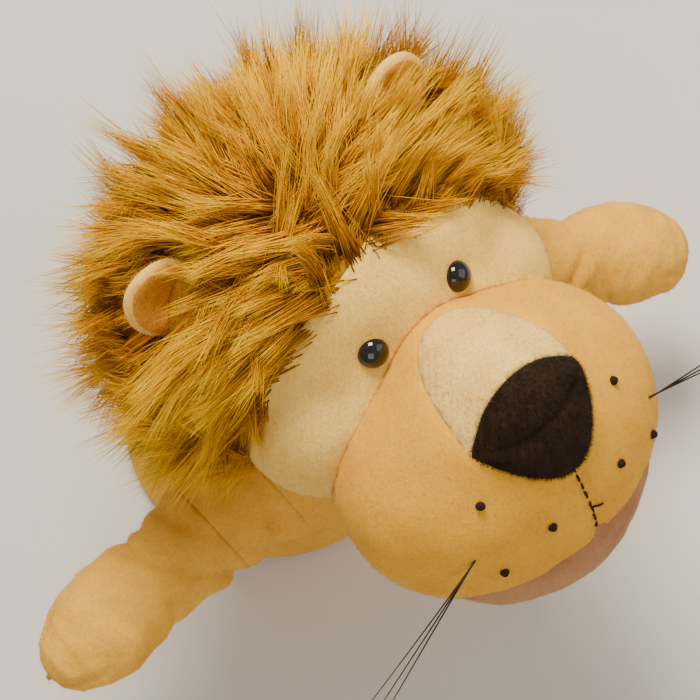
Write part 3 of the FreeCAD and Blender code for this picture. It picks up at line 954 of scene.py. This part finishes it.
def fibre_paths(root, heading, normal, length, curl, spread, fibres, segments=SEGMENTS):
    """Paths of the fibres of one lock: they start apart and close towards a common tip."""
    side = np.cross(heading, normal)
    offset = rng.randn(fibres, 2) * spread
    start = root + side * offset[:, :1] + np.cross(normal, side) * offset[:, 1:2] - normal * 0.6
    own = length * rng.uniform(0.62, 1.06, fibres)[:, None]
    wander = rng.randn(fibres, 3) * 0.06
    close = rng.uniform(0.02, 0.30, fibres)[:, None]
    t = np.linspace(0, 1, segments + 1)
    paths = []
    for s in t:
        gather = (1 - s) + s * close
        line = root + heading * own * s + curl * own * s * s
        paths.append(line + (start - root) * gather + wander * own * s ** 1.5)
    return np.stack(paths, 1)


def fibre_mesh(name, paths, thick, tones):
    """Three-sided tapered fibres; each closes in a point at its tip."""
    count, rings = paths.shape[0], paths.shape[1]
    tangent = unit(np.gradient(paths, axis=1))
    side = unit(np.cross(tangent, np.array([0.3, 0.5, 0.8])))
    up = np.cross(tangent, side)
    s = np.linspace(0, 1, rings)[None, :, None]
    width = thick[:, None, None] * (1 - 0.82 * s ** 1.4)
    corners = []
    for k in range(3):
        w = k * 2 * math.pi / 3
        corners.append(paths + width * (side * math.cos(w) + up * math.sin(w)))
    verts = np.stack(corners, 2)
    verts[:, -1] = paths[:, -1][:, None, :]
    verts = verts.reshape(-1, 3)
    base = np.arange(count)[:, None] * rings * 3
    tris = []
    for r in range(rings - 1):
        for k in range(3):
            a, b = r * 3 + k, r * 3 + (k + 1) % 3
            c, d = a + 3, b + 3
            tris.append(base + np.array([a, b, c]))
            if r < rings - 2:
                tris.append(base + np.array([b, d, c]))
    tris.append(base + np.array([0, 2, 1]))
    tris = np.concatenate(tris).reshape(-1, 3)
    obj = big_mesh(name, head_point(verts), tris)
    along = np.tile(np.repeat(np.linspace(0, 1, rings), 3), count).astype(np.float32)
    tone = np.repeat(tones, rings * 3).astype(np.float32)
    for label, values in (("along", along), ("tone", tone)):
        obj.data.attributes.new(label, "FLOAT", "POINT").data.foreach_set("value", values)
    return obj


def undercoat():
    """Short dense fibres under the locks, which hide the backing cloth."""
    p, n, d = skull_roots(LOCKS + 60)
    comb = flow(p, n, d)
    edge = hair_edge(p)
    middle = bell_curve(np.linalg.norm(p - (SKULL[0] + WHORL * SKULL[1]), axis=1), 30.0)
    paths = []
    for i in range(len(p)):
        heading = unit(comb[i] * 0.7 + n[i] * 0.5 + rng.randn(3) * 0.35 * (1 + middle[i]))
        heading = unit(heading + n[i] * max(0.5 - n[i] @ heading, 0))
        length = room_at_ears(p[i], heading, rng.uniform(15, 24) + 10 * middle[i])
        if length < 5:
            continue
        curl = comb[i] * 0.3 - n[i] * 0.25 + rng.randn(3) * 0.15
        fibres = int((22) * (1 + 1.3 * bell_curve(edge[i], 12.0) + middle[i]))
        paths.append(fibre_paths(p[i], heading, n[i], length, curl, 3.4, fibres, 3))
    paths = np.concatenate(paths)
    tones = np.clip(rng.normal(0.38, 0.16, len(paths)), 0, 1)
    thick = rng.uniform(0.2, 0.34, len(paths))
    for part in range(2):
        some = slice(part, None, 2)
        obj = fibre_mesh("mane_undercoat_%d" % (part + 1), paths[some], thick[some], tones[some])
        dress(obj, FUR, "head")


def panel_of(p):
    """The mane panel that a root grows from."""
    if p[2] > 74:
        return "crown"
    if abs(p[0]) <= 38:
        return "back"
    return "right" if p[0] < 0 else "left"


def mane():
    p, n, d = skull_roots(LOCKS)
    comb = flow(p, n, d)
    panels = {"right": [], "left": [], "crown": [], "back": []}
    edge = hair_edge(p)
    middle = bell_curve(np.linalg.norm(p - (SKULL[0] + WHORL * SKULL[1]), axis=1), 24.0)
    for i in range(len(p)):
        lift = math.radians(rng.uniform(10, 38) * (0.7 + 0.3 * smooth_step(edge[i], 0, 25)))
        heading = comb[i] * math.cos(lift) + n[i] * math.sin(lift) + rng.randn(3) * 0.12
        heading = unit(heading + n[i] * max(0.2 - n[i] @ heading, 0))
        length = rng.uniform(40, 72) * (1 - 0.25 * middle[i])
        length = min(length, room_in_mane(p[i], heading) * rng.uniform(0.86, 1.16))
        length = room_at_ears(p[i], heading, length)
        if length < 9:
            continue
        curl = comb[i] * 0.08 - n[i] * rng.uniform(0.0, 0.25) + rng.randn(3) * 0.10
        length = room_in_box(p[i], heading + curl, length)
        paths = fibre_paths(p[i], heading, n[i], length, curl, rng.uniform(2.0, 3.6), FIBRES)
        lock_tone = np.clip(rng.normal(0.5, 0.20) + rng.normal(0, 0.12, FIBRES), 0, 1)
        panels[panel_of(p[i])].append((paths, lock_tone))
    for key, locks in panels.items():
        for part in range(3):
            some = locks[part::3]
            paths = np.concatenate([a for a, b in some])
            tones = np.concatenate([b for a, b in some])
            thick = rng.uniform(0.15, 0.29, len(paths)) * 1.0
            obj = fibre_mesh("mane_%s_fur_%d" % (key, part + 1), paths, thick, tones)
            dress(obj, FUR, "head", ("mane_%s_panel" % key,))


# ---- hidden CAD pieces, room, camera --------------------------------------------------------

def inner_pieces():
    """CAD pieces inside the puppet keep their own shape and get cloth or plastic."""
    for name, material in (("finger_pocket", LINING), ("pocket_cuff", LINING),
                           ("right_eye_washer", WASHER), ("left_eye_washer", WASHER)):
        obj = frame["nodes"][name]
        for slot in obj.material_slots:
            slot.material = material


def floor_and_light():
    mat, nodes, links, shader = tree("floor")
    place = nodes.new("ShaderNodeTexCoord").outputs["Object"]
    cloud = noise_node(nodes, links, place, 3.0)
    tint = ramp_node(nodes, links, cloud.outputs["Fac"],
                     ((0.3, (0.63, 0.61, 0.58)), (0.7, (0.68, 0.66, 0.63))))
    links.new(tint.outputs["Color"], shader.inputs["Base Color"])
    shader.inputs["Roughness"].default_value = 0.8
    bpy.ops.mesh.primitive_plane_add(size=8.0, location=(0, 0, -0.0005))
    floor = bpy.context.object
    floor.name = "floor"
    floor.data.materials.append(mat)
    world = bpy.data.worlds.new("studio")
    bpy.context.scene.world = world
    world.use_nodes = True
    world.node_tree.nodes["Background"].inputs["Color"].default_value = (1.0, 0.97, 0.93, 1.0)
    world.node_tree.nodes["Background"].inputs["Strength"].default_value = 0.40
    target = Vector((0.02, -0.05, 0.14))
    for name, spot, size, power in (("key", (0.22, 0.42, 1.1), 0.42, 21.0),
                                    ("fill", (0.9, -0.5, 0.8), 0.9, 4.2),
                                    ("front", (-0.5, -0.9, 0.9), 0.7, 3.8)):
        lamp = bpy.data.lights.new(name, "AREA")
        lamp.size, lamp.energy, lamp.color = size, power, (1.0, 0.91, 0.76)
        obj = bpy.data.objects.new(name, lamp)
        obj.location = spot
        obj.rotation_euler = (target - Vector(spot)).to_track_quat("-Z", "Y").to_euler()
        bpy.context.collection.objects.link(obj)


def camera():
    """Looks down at the puppet from its right front, turned a little about its own axis."""
    azimuth, elevation, roll = map(math.radians, (-17.6, 69.5, 15.6))
    distance, lens = 0.7486, 109.7
    aim = Vector(NECK) + Vector((0, 0, 0.040))
    level = math.cos(elevation)
    towards = Vector((math.sin(azimuth) * level, -math.cos(azimuth) * level, math.sin(elevation)))
    place = aim + towards * distance
    right = (-towards).cross(Vector((0, 0, 1))).normalized()
    up = right.cross(-towards)
    cam_x = right * math.cos(roll) - up * math.sin(roll)
    cam_y = right * math.sin(roll) + up * math.cos(roll)
    # the neck sits a little above the middle of the picture
    view = (-towards * distance + cam_x * 0.00133 - cam_y * 0.01443).normalized()
    cam_x = (cam_x - view * cam_x.dot(view)).normalized()
    cam_y = cam_x.cross(view).normalized()
    turn = Matrix((cam_x, cam_x.cross(view).normalized(), -view)).transposed()
    data = bpy.data.cameras.new("camera")
    data.lens, data.sensor_width = lens, 36.0
    data.clip_start, data.clip_end = 0.01, 20.0
    obj = bpy.data.objects.new("camera", data)
    obj.matrix_world = Matrix.Translation(place) @ turn.to_4x4()
    bpy.context.collection.objects.link(obj)
    bpy.context.scene.camera = obj


camera()
floor_and_light()
head_skins()
chin()
eyes()
knots()
whiskers()
philtrum()
ears()
arms()
body_panels()
hem()
neck_sleeve()
mane()
undercoat()
inner_pieces()
